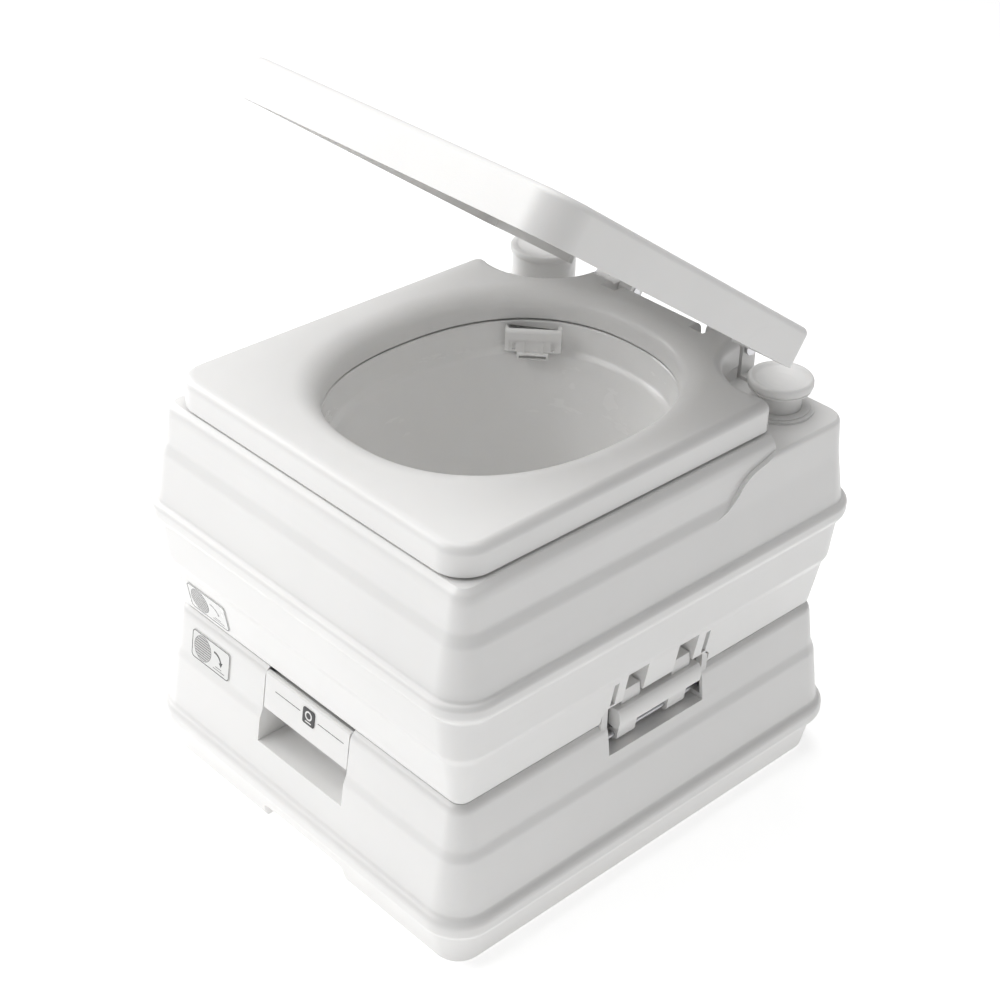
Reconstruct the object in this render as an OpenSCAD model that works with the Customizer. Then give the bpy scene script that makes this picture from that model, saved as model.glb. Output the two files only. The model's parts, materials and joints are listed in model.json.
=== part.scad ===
// Portable camp toilet: a flush-water tank with bowl, seat and lid, latched on a waste tank.
// Millimetres. +Z is up, the front faces -Y, and the origin is under the middle of the body.

/* [Body] */
// Width over the lower rib
body_w = 383; // [381:1:385]
// Depth over the lower rib
body_d = 433; // [431:1:435]
// Corner radius of the mouldings, seen from above
corner_r = 34; // [33:1:36]
// Wall thickness of the mouldings
wall = 3; // [2.5:0.5:3]

/* [Seat and lid] */
// Half of the seat's width
seat_half = 163; // [162.5:0.5:163.5]
// Thickness of the seat
seat_t = 24; // [23:0.5:24]
// Half width of the seat's hole
hole_half_w = 118; // [117:1:119]
// Half length of the seat's hole
hole_half_l = 141; // [139:1:142]
// How far the lid stands open, in degrees
lid_open = 35; // [30:1:40]

/* [Waste valve] */
// Radius of the waste outlet
outlet_r = 47; // [46.5:0.5:47.5]
// Thickness of the sliding blade
blade_t = 3; // [2.5:0.5:3]

/* [Flush pump] */
// Radius of the pump's push pad
pad_r = 26; // [24:1:27]
// Turns of the pump's return spring
pump_turns = 8; // [6:1:9]

/* [Hidden] */
$fn = 64;

half_w = body_w / 2;
half_d = body_d / 2;
gap = 0.4;            // between parts that are welded or pressed together
run = 0.06;           // radial running clearance of a pin
far = 500;            // longer than anything here

rim_z = 144.2;        // top edge of the waste tank
tray_z = 121;         // tray that holds the valve
floor_z = 144.5;      // underside of the fresh-water tank
deck_z = 320;         // rear deck with the two caps
top_z = 330.3;        // rim under the seat
seat_z = 332.5;       // underside of the seat
seat_top = seat_z + seat_t;

// Outside of the tanks: height, then how far the wall is set in from the lower rib.
waste_profile = [
    [0, 14.5], [2, 12.6], [30.7, 7], [34.5, 1.8], [38, 0], [46, 0], [49.5, 1.8], [52.1, 5.7],
    [99, 11.9], [106.6, 15.2], [138.5, 19.6], [142.2, 21.4], [rim_z, 24.5]
];
fresh_profile = [
    [floor_z, 25], [148.5, 21.8], [188.3, 14.7], [195, 10.9], [230.8, 7.5], [235, 3], [238.5, 1.6],
    [245.5, 1.6], [248, 3.5], [249.3, 6.9], [289.5, 13.1], [298.3, 17.4], [321, 19.5],
    [326.5, 21.2], [top_z, 26]
];
shoulder_profile = [[250, 6.95], [289.5, 13.1], [316, 15.2], [318.5, 16], [deck_z, 18]];
// The ledge on each side climbs to the rear deck along this line: y, then z.
shoulder_line = [
    [30, 285], [60, 291], [72, 299], [79, 308], [90, 313], [104, 315.5], [118, 321], [124, 325]
];

outlet_y = 10;
cap_x = 131;          // pump at +X, filler at -X
cap_y = 168;
notch_x = 138;        // round notches in the rear of seat and lid
notch_y = 176;
notch_r = 56;
neck_half = 82;       // half width of the seat's rear neck
neck_y = 176;
hinge_y = 188;
hinge_z = 346;
bracket_screw_x = 88;
latch_y = 5;
latch_x = 163;        // latch pivot
latch_z = 124;
spout_x = 45;
spout_y = 180;
spout_z = 86;
vent_x = -112;
vent_z = 104;

white = "#f1f0ee";
grey = "#cfcdca";

// ---- outlines and lofts ----

function arc(x, y, r, a0, n = 6) =
    [for (i = [0:n]) [x + r * cos(a0 + 90 * i / n), y + r * sin(a0 + 90 * i / n)]];

function rounded(hw, hd, r) = concat(
    arc(hw - r, hd - r, r, 0), arc(r - hw, hd - r, r, 90),
    arc(r - hw, r - hd, r, 180), arc(hw - r, r - hd, r, 270));

function signed_power(v, e) = sign(v) * pow(abs(v), e);

// A rounded oval between an ellipse (bend 2) and a rectangle.
function oval(a, b, cy = -1.4, bend = 2.3, n = 48) = [
    for (i = [0:n - 1])
        [a * signed_power(cos(360 * i / n), 2 / bend),
         cy + b * signed_power(sin(360 * i / n), 2 / bend)]
];

// Joins outlines of equal length, one at each height.
module loft(outlines, heights) {
    n = len(outlines[0]);
    m = len(outlines);
    points = [for (k = [0:m - 1]) for (p = outlines[k]) [p[0], p[1], heights[k]]];
    sides = [
        for (k = [0:m - 2]) for (i = [0:n - 1]) for (upper = [true, false])
            let (a = k * n + i, b = k * n + (i + 1) % n)
                upper ? [a, a + n, b + n] : [a, b + n, b]
    ];
    bottom = [for (i = [0:n - 1]) i];
    top = [for (i = [n - 1:-1:0]) (m - 1) * n + i];
    polyhedron(points, concat([bottom], sides, [top]));
}

// The outside of a tank, or the same shape set in by a wall.
module casing(profile, inset = 0) {
    loft(
        [for (p = profile)
            rounded(half_w - p[1] - inset, half_d - p[1] - inset, max(4, corner_r - p[1] - inset))],
        [for (p = profile) p[0]]);
}

// Keeps what lies between two heights.
module between(z0, z1) {
    intersection() {
        children();
        translate([-far / 2, -far / 2, z0]) cube([far, far, z1 - z0]);
    }
}

// Extrudes an outline drawn in Y and Z along X, about the middle.
module along_x(width) {
    rotate([90, 0, 90]) linear_extrude(width, center = true) children();
}

module box(x0, x1, y0, y1, z0, z1) {
    translate([x0, y0, z0]) cube([x1 - x0, y1 - y0, z1 - z0]);
}

module tube(r_out, r_in, h) {
    difference() {
        cylinder(r = r_out, h = h);
        translate([0, 0, -1]) cylinder(r = r_in, h = h + 2);
    }
}

// A round-section wire wound about Z, from z 0 up.
module coil(radius, wire, h, turns, steps = 14, sides = 6) {
    count = turns * steps;
    points = [
        for (k = [0:count]) for (s = [0:sides - 1])
            let (t = 360 * k / steps, q = 360 * s / sides, r = radius + wire * cos(q))
                [r * cos(t), r * sin(t), wire + (h - 2 * wire) * k / count + wire * sin(q)]
    ];
    skin = [
        for (k = [0:count - 1]) for (s = [0:sides - 1]) for (upper = [true, false])
            let (a = k * sides + s, b = k * sides + (s + 1) % sides)
                upper ? [a, b + sides, a + sides] : [a, b, b + sides]
    ];
    start = [for (s = [sides - 1:-1:0]) s];
    end = [for (s = [0:sides - 1]) count * sides + s];
    polyhedron(points, concat([start], skin, [end]));
}

// A hose along hand-placed points, smoothed by a spline through them.
function spline(p, i, t) =
    let (a = p[max(0, i - 1)], b = p[i], c = p[i + 1], d = p[min(len(p) - 1, i + 2)])
        0.5 * (2 * b + (c - a) * t + (2 * a - 5 * b + 4 * c - d) * t * t
               + (3 * b - a - 3 * c + d) * t * t * t);
function smooth(p, n = 4) = concat(
    [for (i = [0:len(p) - 2]) for (k = [0:n - 1]) spline(p, i, k / n)], [p[len(p) - 1]]);
function unit(v) = v / norm(v);

module hose(route, r, sides = 8) {
    line = smooth(route);
    last = len(line) - 1;
    points = [
        for (k = [0:last])
            let (ahead = unit(line[min(last, k + 1)] - line[max(0, k - 1)]),
                 side = unit(cross(ahead, [0, 0, 1])), up = cross(side, ahead))
                for (s = [0:sides - 1])
                    line[k] + r * (cos(360 * s / sides) * side + sin(360 * s / sides) * up)
    ];
    skin = [
        for (k = [0:last - 1]) for (s = [0:sides - 1]) for (upper = [true, false])
            let (a = k * sides + s, b = k * sides + (s + 1) % sides)
                upper ? [a, b + sides, a + sides] : [a, b, b + sides]
    ];
    start = [for (s = [sides - 1:-1:0]) s];
    end = [for (s = [0:sides - 1]) last * sides + s];
    polyhedron(points, concat([start], skin, [end]));
}

// ---- waste tank ----

// Solid pads moulded inside the walls, which the recesses are sunk into.
module waste_pads() {
    box(-57, 57, -far / 2, -172, 74, tray_z);
    box(-53, 53, -far / 2, far / 2, 0, 18);
    box(-79, 79, 146, far / 2, 50, tray_z);
    translate([vent_x, 178, vent_z]) rotate([-90, 0, 0]) cylinder(r = 13, h = 40);
    for (side = [1, -1]) scale([side, 1, 1]) {
        box(148, far / 2, latch_y - 58, latch_y + 58, 108, rim_z - 2);
    }
}

// The tongue that stands up behind each latch.
module latch_tongue(grow = 0, outer = latch_x + 7.4) {
    inner = latch_x - 7.4 - grow;
    translate([inner, 0, 0]) rotate([90, 0, 90]) linear_extrude(outer - inner) polygon([
        [latch_y - 67 - grow, 139], [latch_y - 67 - grow, 143 + grow],
        [latch_y - 54 - grow, 160 + grow], [latch_y + 54 + grow, 160 + grow],
        [latch_y + 67 + grow, 143 + grow], [latch_y + 67 + grow, 139]
    ]);
}

module latch_recess() {
    box(157, far / 2, latch_y - 52, latch_y + 52, 117, 139);
    box(latch_x, far / 2, latch_y - 52, latch_y + 52, 117, 170);
    translate([latch_x, latch_y, latch_z]) rotate([90, 0, 0])
        cylinder(r = 2.5 + run, h = 112.6, center = true);
}

module waste_tank() {
    color(white) difference() {
        union() {
            difference() {
                casing(waste_profile);
                between(wall, tray_z - wall) casing(waste_profile, wall);
                between(tray_z, far) casing(concat(waste_profile, [[160, 24.5]]), wall);
            }
            intersection() {
                casing(waste_profile);
                waste_pads();
            }
            latch_tongue();
            mirror([1, 0, 0]) latch_tongue();
        }
        // channel between the feet
        box(-50, 50, -far / 2, far / 2, -1, 15);
        // handle recess with the finger space below
        box(-51.5, 51.5, -far / 2, -178, 79, far / 2);
        // spout recess with its two pivots
        box(-75, 75, 150, far / 2, 58, 114);
        translate([spout_x, spout_y, 45]) cylinder(r = 16 + run, h = 20);
        translate([spout_x, spout_y, 113]) cylinder(r = 6 + run, h = 5.6);
        // vent seat
        translate([vent_x, 184, vent_z]) rotate([-90, 0, 0]) cylinder(r = 8 + gap, h = 40);
        translate([vent_x, 170, vent_z]) rotate([-90, 0, 0]) cylinder(r = 3, h = 40);
        // outlet
        translate([0, outlet_y, tray_z - 5]) cylinder(r = outlet_r, h = 10);
        latch_recess();
        mirror([1, 0, 0]) latch_recess();
    }
}

// ---- fresh-water tank ----

// Plan of the raised rim under the seat, with the notches around the caps.
module platform(set_in = 0) {
    difference() {
        translate([set_in - far / 2, set_in - far / 2])
            square([far - 2 * set_in, far / 2 + neck_y + 2 - 2 * set_in]);
        for (side = [1, -1]) {
            translate([side * notch_x, notch_y]) circle(r = notch_r + 2 + set_in);
            translate([side * (neck_half + far / 2 - set_in), notch_y])
                square([far, 2 * notch_r], center = true);
            translate([side * (far / 2 + 120), 112 - set_in + notch_r])
                square([far, 2 * notch_r], center = true);
        }
    }
}

module fresh_outside() {
    between(floor_z - 1, deck_z) casing(fresh_profile);
    intersection() {
        between(deck_z - 1, far) casing(fresh_profile);
        translate([0, 0, deck_z - 2]) linear_extrude(20) platform();
    }
    intersection() {
        casing(shoulder_profile);
        along_x(far) polygon(concat(shoulder_line, [[far / 2, 325], [far / 2, 249], [30, 249]]));
    }
}

module fresh_windows() {
    for (y = [-27.5, 27.5]) box(149.5, far / 2, latch_y + y - 11, latch_y + y + 11, 160, 188);
    for (y = [-50, 50]) box(166, far / 2, latch_y + y - 2.5, latch_y + y + 2.5, 163, 185);
    latch_tongue(0.9, far / 2);
    box(latch_x - 8, far / 2, latch_y - 53, latch_y + 53, floor_z - 1, 160.9);
}

module fresh_tank() {
    color(white) difference() {
        union() {
            difference() {
                fresh_outside();
                between(floor_z + wall, deck_z - wall) casing(fresh_profile, wall);
                intersection() {
                    between(deck_z - wall - 1, top_z - wall) casing(fresh_profile, 2 * wall);
                    translate([0, 0, deck_z - 5]) linear_extrude(12.3) platform(2 * wall);
                }
            }
            intersection() {
                casing(fresh_profile);
                for (side = [1, -1]) scale([side, 1, 1])
                    box(144, far / 2, latch_y - 70, latch_y + 70, floor_z, 192);
            }
        }
        fresh_windows();
        mirror([1, 0, 0]) fresh_windows();
        // bowl opening and outlet
        translate([0, 0, 300]) linear_extrude(50) polygon(oval(hole_half_w + 3.8, hole_half_l + 3.8));
        translate([0, outlet_y, 140]) cylinder(r = 50, h = 20);
        // cap openings and bracket screw holes
        for (side = [1, -1]) {
            translate([side * cap_x, cap_y, 300]) cylinder(r = 24 + gap, h = 50);
            translate([side * bracket_screw_x, hinge_y, 300]) cylinder(r = 2.1, h = 50);
        }
    }
}

// Bowl, inside: height, half width, half length, centre, bend.
bowl_profile = [
    [142, 42, 42, outlet_y, 2], [149, 42, 42, outlet_y, 2], [154, 45, 47, outlet_y, 2.05],
    [165, 54, 61, 8, 2.1], [185, 70, 82, 6, 2.2], [215, 87, 104, 3, 2.3], [255, 101, 121, 0, 2.3],
    [290, 109, 131, -1.2, 2.3], [304.5, 111.5, 134, -1.4, 2.3], [309, 116, 138.5, -1.4, 2.3],
    [331, 118, 141, -1.4, 2.3]
];

module bowl_form(grow, z0, z1) {
    ends = len(bowl_profile) - 1;
    loft(
        [for (p = bowl_profile) oval(p[1] + grow, p[2] + grow, p[3], p[4])],
        [for (i = [0:ends]) i == 0 ? z0 : i == ends ? z1 : bowl_profile[i][0] - grow / 2]);
}

nozzle_x = -76.3;
nozzle_y = 105.1;
nozzle_turn = 43;     // the nozzle looks across the bowl to the front right
stem_z = 309.7;

module at_nozzle() {
    translate([nozzle_x, nozzle_y, 0]) rotate([0, 0, nozzle_turn]) children();
}

module bowl() {
    color(white) difference() {
        bowl_form(wall + 0.2, 143, top_z);
        bowl_form(0, 142, top_z + 1);
        at_nozzle() translate([0, -10, stem_z]) rotate([-90, 0, 0]) cylinder(r = 6 + gap, h = 40);
    }
}

// Spray head on the bowl's wall, with its inlet stem.
module flush_nozzle() {
    color(white) at_nozzle() {
        difference() {
            union() {
                along_x(46) polygon([
                    [-8, 308], [-10, 312], [-10, 327], [-8, 329.5], [0, 329.5], [0, 308]]);
                along_x(28) polygon([[-11, 297], [-11, 309], [-2, 309], [-4, 297]]);
                translate([0, -4, stem_z]) rotate([-90, 0, 0]) cylinder(r = 6, h = 26);
            }
            box(-11, 11, -9, -6, 290, 304);
            translate([0, -5, stem_z]) rotate([-90, 0, 0]) cylinder(r = 3.5, h = 40);
        }
    }
}

module flush_hose() {
    color("#d8dadb") hose([
        [103.4, 171.9, 246], [84, 174.6, 247], [62, 179, 253], [20, 184, 267], [-24, 184, 282],
        [-70, 172, 296], [-98, 151, 306], [-102, 136, 309.2], [-97.6, 128, 309.7],
        [-91.8, 121.8, 309.7]
    ], 5);
}

// ---- waste valve ----

module rounded_plate(hw, y0, y1, r, h) {
    translate([0, (y0 + y1) / 2, 0]) linear_extrude(h) polygon(rounded(hw, (y1 - y0) / 2, r));
}

module tank_gasket() {
    color("#3a3a3a") translate([0, outlet_y, tray_z]) tube(60, outlet_r, 1);
}

screw_places = [for (x = [-70, 70]) for (y = [-135, -65, 5, 62]) [x, y]];
blade_z = 131;
blade_half = 50.5;

module valve_frame() {
    color(grey) difference() {
        translate([0, 0, tray_z + 1]) rounded_plate(78, -150, 76, 8, 20);
        box(-blade_half - gap, blade_half + gap, -far / 2, 64, blade_z - gap, blade_z + blade_t + gap);
        translate([0, outlet_y, tray_z]) cylinder(r = outlet_r, h = 30);
        for (p = screw_places) translate([p[0], p[1], tray_z]) cylinder(r = 2.1, h = 30);
    }
}

module pan_screw(r, shank, head_r, head_t) {
    translate([0, 0, -shank]) cylinder(r = r, h = shank);
    difference() {
        cylinder(r = head_r, h = head_t);
        translate([0, 0, head_t]) cube([0.8, 2 * head_r - 1.5, 1.6], center = true);
        translate([0, 0, head_t]) cube([2 * head_r - 1.5, 0.8, 1.6], center = true);
    }
}

module valve_screws() {
    color("silver") for (p = screw_places)
        translate([p[0], p[1], tray_z + 21]) pan_screw(2, 18, 3.6, 2.2);
}

module outlet_seal() {
    color("#3a3a3a") translate([0, outlet_y, tray_z + 21]) tube(56, 46, 2.3);
}

module valve_blade() {
    color(grey) difference() {
        translate([0, 0, blade_z]) rounded_plate(blade_half, -187, 62, 6, blade_t);
        for (x = [-32, 0, 32]) translate([x, -181, 100]) cylinder(r = 2.1, h = 60);
    }
}

module valve_handle() {
    color(white) difference() {
        along_x(101) polygon([
            [-200.6, 110], [-196.6, 141.4], [-195.4, 142.4], [-192.4, 142.4], [-193.1, 138],
            [-176, 138], [-176, blade_z + blade_t + 0.2], [-193.9, blade_z + blade_t + 0.2],
            [-196.3, 114], [-189, 114], [-189, 110]
        ]);
        for (x = [-32, 0, 32]) translate([x, -181, 100]) cylinder(r = 2.1, h = 60);
    }
}

module handle_screws() {
    color("silver") for (x = [-32, 0, 32]) translate([x, -181, 138]) pan_screw(2, 9, 3.5, 2.2);
}

// A thin plate on a leaning front wall; lean is positive where the wall overhangs.
module wall_plate(x, y, z, w, h, t, lean) {
    translate([x, y, z]) rotate([90 + lean, 0, 0]) translate([0, 0, 0.1]) linear_extrude(t)
        polygon(rounded(w / 2, h / 2, min(w, h) / 7));
}

module handle_mark() {
    color("#2b2b2b") wall_plate(3.5, -198, 130.5, 14, 14, 0.5, -7.3);
}

module tank_labels() {
    color(white) {
        wall_plate(-122, -197.75, 165.5, 50, 26, 0.6, 10.1);
        wall_plate(-120, -199.46, 120, 50, 26, 0.6, -7.85);
    }
}

// ---- flush pump ----

module at_pump(z) {
    translate([cap_x, cap_y, z]) children();
}

module pump_barrel() {
    color(grey) difference() {
        union() {
            at_pump(230) cylinder(r = 24, h = deck_z - 229);
            at_pump(deck_z) cylinder(r = 28, h = 2);
            at_pump(246) rotate([0, -90, -8]) cylinder(r = 5, h = 27);
        }
        at_pump(233) cylinder(r = 21, h = 100);
        at_pump(220) cylinder(r = 4, h = 20);
        at_pump(246) rotate([0, -90, -8]) cylinder(r = 2.6, h = 40);
    }
}

module pump_gland() {
    color(white) at_pump(308) difference() {
        union() {
            cylinder(r = 21 - 0.05, h = 14);
            translate([0, 0, 14]) cylinder(r = 25, h = 1.2);
        }
        translate([0, 0, -1]) cylinder(r = 18 + run, h = 20);
    }
}

module pump_spring() {
    color("silver") at_pump(233.2) coil(15, 1.2, 47.6, pump_turns);
}

module pump_plunger() {
    color(white) at_pump(281) difference() {
        union() {
            cylinder(r = 20.4, h = 6);
            cylinder(r = 18, h = 57);
        }
        translate([0, 0, 2]) tube(22, 19, 2);
        translate([0, 0, 8]) cylinder(r = 15, h = 60);
    }
}

module piston_seal() {
    color("#3a3a3a") at_pump(283.2) tube(20.8, 19.2, 1.6);
}

// The dished push pad, with a flared rim.
module pump_pad() {
    color(white) at_pump(0) rotate_extrude() polygon([
        [0, 330], [14.6, 330], [14.6, 338.2], [pad_r - 3, 338.2], [pad_r - 0.4, 340],
        [pad_r, 343], [pad_r - 0.6, 346.4], [pad_r - 2.4, 348], [pad_r - 4.4, 347.4],
        [pad_r - 8, 344.6], [pad_r - 16, 343], [0, 342.4]
    ]);
}

module suction_tube() {
    color("#d8dadb") at_pump(154) difference() {
        union() {
            cylinder(r = 6, h = 75.8);
            cylinder(r = 11, h = 6);
        }
        translate([0, 0, -1]) cylinder(r = 4, h = 80);
    }
}

// ---- filler ----

module at_filler(z) {
    translate([-cap_x, cap_y, z]) children();
}

module filler_neck() {
    color(white) difference() {
        union() {
            at_filler(312) cylinder(r = 24, h = 43);
            at_filler(deck_z) cylinder(r = 28, h = 2.5);
        }
        at_filler(300) cylinder(r = 20, h = 80);
    }
}

module filler_gasket() {
    color("#3a3a3a") at_filler(355.2) tube(24, 20.5, 1.8);
}

module filler_cap() {
    color(white) at_filler(0) rotate_extrude() polygon([
        [0, 357.3], [24.4, 357.3], [24.4, 334], [26.6, 334], [27, 335], [27, 358],
        [28.4, 358.4], [29, 359.6], [29, 361.6], [27.6, 363.2], [0, 364]
    ]);
}

// ---- hinge, seat and lid ----

module at_hinge() {
    translate([0, hinge_y, hinge_z]) children();
}

// A pivot pin lying along X between two stations.
module x_pin(x0, x1, r) {
    at_hinge() translate([x0, 0, 0]) rotate([0, 90, 0]) cylinder(r = r, h = x1 - x0);
}

module both_sides() {
    children();
    mirror([1, 0, 0]) children();
}

module hinge_brackets() {
    color(white) both_sides() difference() {
        union() {
            hull() {
                x_pin(70, 82, 8);
                box(70, 82, 180, 196, deck_z + 0.1, deck_z + 3);
            }
            box(68, 94, 180, 196, deck_z + 0.1, deck_z + 3);
        }
        x_pin(60, 90, 4 + run);
        translate([bracket_screw_x, hinge_y, 300]) cylinder(r = 2.1, h = 40);
    }
}

module bracket_screws() {
    color("silver") both_sides() translate([bracket_screw_x, hinge_y, deck_z + 3])
        pan_screw(2, 12, 3.8, 2.2);
}

module hinge_pins() {
    color("silver") both_sides() {
        x_pin(41, 82.4, 4);
        x_pin(82.4, 85, 6.5);
    }
}

// What is taken off where the side meets the notch, to leave a round corner.
module corner_trim(grow) {
    round_r = 9;
    middle = [notch_x, notch_y];
    reach = notch_r - grow + round_r;
    x = seat_half + grow - round_r;
    centre = [x, notch_y - sqrt(reach * reach - (x - notch_x) * (x - notch_x))];
    touch = middle + (centre - middle) * (notch_r - grow) / reach;
    difference() {
        polygon([centre, [x + 2 * round_r, centre[1]], [x + 2 * round_r, notch_y - 30], touch]);
        translate(centre) circle(r = round_r);
    }
}

// Plan of the seat, or of the lid when grown.
module seat_plan(grow = 0, rear = neck_y) {
    front = -191 - grow;
    difference() {
        translate([0, (front + rear) / 2])
            polygon(rounded(seat_half + grow, (rear - front) / 2, 26 + grow));
        for (side = [1, -1]) {
            translate([side * notch_x, notch_y]) circle(r = notch_r - grow);
            translate([side * (neck_half + grow + far / 2), notch_y + 50])
                square([far, 100], center = true);
            scale([side, 1]) corner_trim(grow);
        }
    }
    for (side = [1, -1]) translate([side * (neck_half - 20 + grow), (notch_y + rear) / 2 - 20])
        square([40, rear - notch_y + 40], center = true);
}

// The rounded-over mouth of the seat's hole.
module seat_mouth() {
    steps = 6;
    roll = 20;
    drop = 15;
    outlines = concat(
        [oval(hole_half_w, hole_half_l)],
        [for (i = [0:steps]) let (a = 90 * i / steps)
            oval(hole_half_w + roll * (1 - cos(a)), hole_half_l + roll * (1 - cos(a)))],
        [oval(hole_half_w + roll + 2, hole_half_l + roll + 2)]);
    heights = concat(
        [seat_z - 1],
        [for (i = [0:steps]) seat_top - drop + drop * sin(90 * i / steps)],
        [seat_top + 1]);
    loft(outlines, heights);
}

bumper_places = [[-148, -165], [148, -165], [-149, 70], [149, 70]];

module seat_ears() {
    both_sides() difference() {
        hull() {
            x_pin(56, 69.5, 8);
            box(56, 69.5, neck_y - 4, neck_y - 1, 336, 352);
        }
        x_pin(50, 75, 4 + run);
    }
}

module seat() {
    color(white) {
        difference() {
            union() {
                translate([0, 0, seat_z]) linear_extrude(19.5) seat_plan();
                translate([0, 0, seat_z + 19.5]) linear_extrude(seat_t - 21) seat_plan(-1.2);
                translate([0, 0, seat_top - 1.5]) linear_extrude(1.5) seat_plan(-3.4);
            }
            seat_mouth();
            // slots that the lid's ears sink into
            both_sides() box(41, 56, 160, far, seat_z - 1, far);
            // hollow underside
            difference() {
                translate([0, 0, seat_z - 1]) linear_extrude(21) difference() {
                    seat_plan(-4, 156);
                    polygon(oval(hole_half_w + 17, hole_half_l + 17));
                }
                for (turn = [0:30:150]) rotate([0, 0, turn + 15])
                    translate([0, 0, seat_z + 8]) cube([far, 2.5, 20], center = true);
                for (p = bumper_places) translate([p[0], p[1], seat_z + 1])
                    cylinder(r = 9, h = 25);
            }
        }
        seat_ears();
    }
}

module seat_bumpers() {
    color("#3a3a3a") for (p = bumper_places) translate([p[0], p[1], top_z + 0.3])
        cylinder(r = 6, h = seat_z + 1 - top_z - 0.3);
}

lid_low = 343;
lid_high = 374.5;
lid_wall = 2.5;
lid_posts = [[-150, -150], [150, -150], [-150, 70], [150, 70]];

// The lid is drawn shut and turned about the hinge.
module as_open() {
    at_hinge() rotate([-lid_open, 0, 0]) translate([0, -hinge_y, -hinge_z]) children();
}

module lid() {
    color(white) as_open() difference() {
        union() {
            difference() {
                union() {
                    translate([0, 0, lid_low]) linear_extrude(lid_high - 4 - lid_low)
                        seat_plan(3.6, 166);
                    translate([0, 0, lid_high - 4]) linear_extrude(2.2) seat_plan(2.4, 165);
                    translate([0, 0, lid_high - 1.8]) linear_extrude(1.8) seat_plan(0.2, 163);
                }
                translate([0, 0, lid_low - 1]) linear_extrude(lid_high - lid_low - 1.8)
                    seat_plan(1.1, 163.5);
                // the rear edge stays above the seat's neck
                box(-90, 90, 118, 200, lid_low - 1, seat_top + 0.6);
            }
            for (p = lid_posts) translate([p[0], p[1], 361]) cylinder(r = 4, h = 12);
            both_sides() hull() {
                x_pin(42, 55.5, 8);
                box(42, 55.5, 152, 162, 363, 372);
            }
        }
        both_sides() x_pin(38, 60, 4 + run);
    }
}

module lid_bumpers() {
    color("#3a3a3a") as_open() for (p = lid_posts)
        translate([p[0], p[1], seat_top + 0.4]) cylinder(r = 5, h = 361 - seat_top - 0.4);
}

// ---- side latches ----

// Two hooked arms joined by the pull bar.
module latch() {
    difference() {
        union() {
            for (y = [-27.5, 27.5]) translate([0, latch_y + y, 0]) {
                along_x_at(20) polygon([
                    [latch_x - 5, latch_z], [latch_x + 1.2, latch_z + 8], [latch_x + 1.2, 160.8],
                    [151.5, 160.8], [151.5, 164], [154, 167.5], [latch_x + 6.4, 167.5],
                    [latch_x + 7.4, 160], [latch_x + 7.4, latch_z + 14], [latch_x + 5, latch_z]
                ]);
                translate([latch_x, 0, latch_z]) rotate([90, 0, 0])
                    cylinder(r = 5.4, h = 20, center = true);
            }
            translate([0, latch_y, 0]) along_x_at(90) polygon([
                [latch_x + 2, 139], [latch_x + 10, 138], [latch_x + 13, 140.5],
                [latch_x + 14, 146], [latch_x + 13, 153], [latch_x + 10.5, 156],
                [latch_x + 2, 156]
            ]);
        }
        translate([latch_x, latch_y, latch_z]) rotate([90, 0, 0])
            cylinder(r = 2.5 + run, h = 200, center = true);
    }
}

// Extrudes an outline drawn in X and Z along Y, about the middle.
module along_x_at(width) {
    rotate([90, 0, 0]) linear_extrude(width, center = true) children();
}

module latch_pin() {
    translate([latch_x, latch_y, latch_z]) rotate([90, 0, 0])
        cylinder(r = 2.5, h = 112, center = true);
}

module latch_right() {
    color(white) latch();
}

module latch_left() {
    color(white) mirror([1, 0, 0]) latch();
}

module latch_right_pin() {
    color("silver") latch_pin();
}

module latch_left_pin() {
    color("silver") mirror([1, 0, 0]) latch_pin();
}

// ---- pour-out spout and vent ----

module at_spout(z) {
    translate([spout_x, spout_y, z]) children();
}

module pipe_along_x(x0, x1, r) {
    translate([spout_x + x0, spout_y, spout_z]) rotate([0, 90, 0]) cylinder(r = r, h = x1 - x0);
}

module spout_elbow() {
    color(white) difference() {
        union() {
            at_spout(58.6) cylinder(r = 22, h = 55);
            at_spout(50.6) cylinder(r = 16, h = 10);
            at_spout(113) cylinder(r = 6, h = 5);
            pipe_along_x(-100, 0, 19);
            pipe_along_x(-88, -85, 21);
        }
        at_spout(40) cylinder(r = 13, h = spout_z - 26);
        pipe_along_x(-120, 0, 15);
        at_spout(52.6) tube(20, 14.8, 2.4);
    }
}

module spout_seal() {
    color("#3a3a3a") at_spout(52.8) tube(16, 15, 2);
}

module spout_cap() {
    color(grey) difference() {
        union() {
            pipe_along_x(-105, -89, 24);
            for (turn = [0:45:315]) translate([spout_x - 105, spout_y, spout_z])
                rotate([turn, 0, 0]) translate([0, -3, 20]) cube([14, 6, 5.4]);
        }
        pipe_along_x(-102, -80, 19.4);
    }
}

module spout_cap_seal() {
    color("#3a3a3a") difference() {
        pipe_along_x(-101.9, -100.2, 19);
        pipe_along_x(-110, -80, 15.5);
    }
}

module vent_button() {
    color(grey) translate([vent_x, 0, vent_z]) rotate([-90, 0, 0]) union() {
        translate([0, 0, 192]) cylinder(r = 8, h = 12);
        translate([0, 0, 204]) cylinder(r1 = 8, r2 = 6.8, h = 1.4);
    }
}

waste_tank();
fresh_tank();
bowl();
tank_gasket();
valve_frame();
valve_screws();
outlet_seal();
valve_blade();
valve_handle();
handle_screws();
handle_mark();
flush_nozzle();
flush_hose();
pump_barrel();
pump_gland();
pump_spring();
pump_plunger();
pump_pad();
piston_seal();
suction_tube();
filler_neck();
filler_gasket();
filler_cap();
hinge_brackets();
bracket_screws();
hinge_pins();
seat();
seat_bumpers();
lid();
lid_bumpers();
latch_right();
latch_left();
latch_right_pin();
latch_left_pin();
spout_elbow();
spout_seal();
spout_cap();
spout_cap_seal();
vent_button();
tank_labels();
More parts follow.
